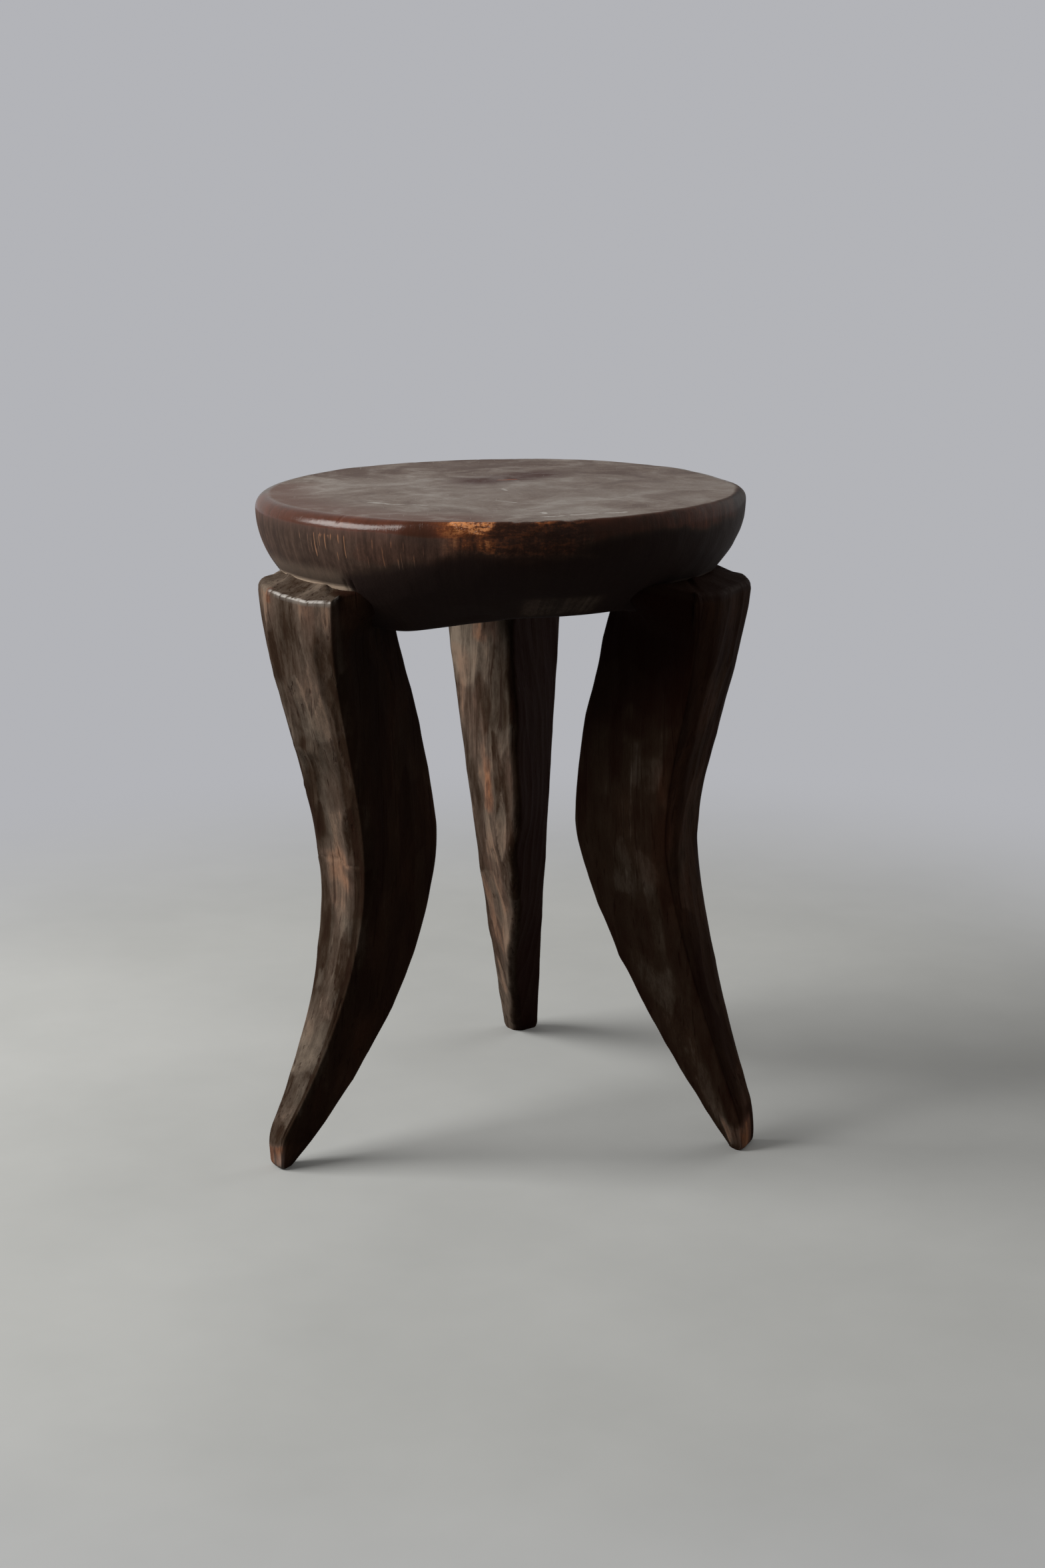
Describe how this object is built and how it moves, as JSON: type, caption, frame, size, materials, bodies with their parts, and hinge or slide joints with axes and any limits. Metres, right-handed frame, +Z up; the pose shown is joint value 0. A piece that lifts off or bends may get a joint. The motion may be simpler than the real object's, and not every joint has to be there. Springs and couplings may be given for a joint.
{
  "type": "three-legged side table",
  "caption": "Low carved hardwood side table or stool: a thick round seat with a rolled edge on three heavy bowed legs that taper to blunt toes.",
  "frame": {"origin": "middle of the footprint, on the floor the feet stand on", "axes": "+Z up; the front is towards -Y, with the front left leg towards -X -Y, the front right leg towards +X -Y and the rear leg towards +Y"},
  "size_m": [0.3299, 0.3413, 0.436],
  "materials": {
    "seat_wood": "satin, hand-worn",
    "leg_wood": "satin, tooled"
  },
  "bodies": {
    "root": {"seat": "seat_wood", "leg_front_left": "leg_wood", "leg_front_right": "leg_wood", "leg_rear": "leg_wood"}
  },
  "joints": []
}
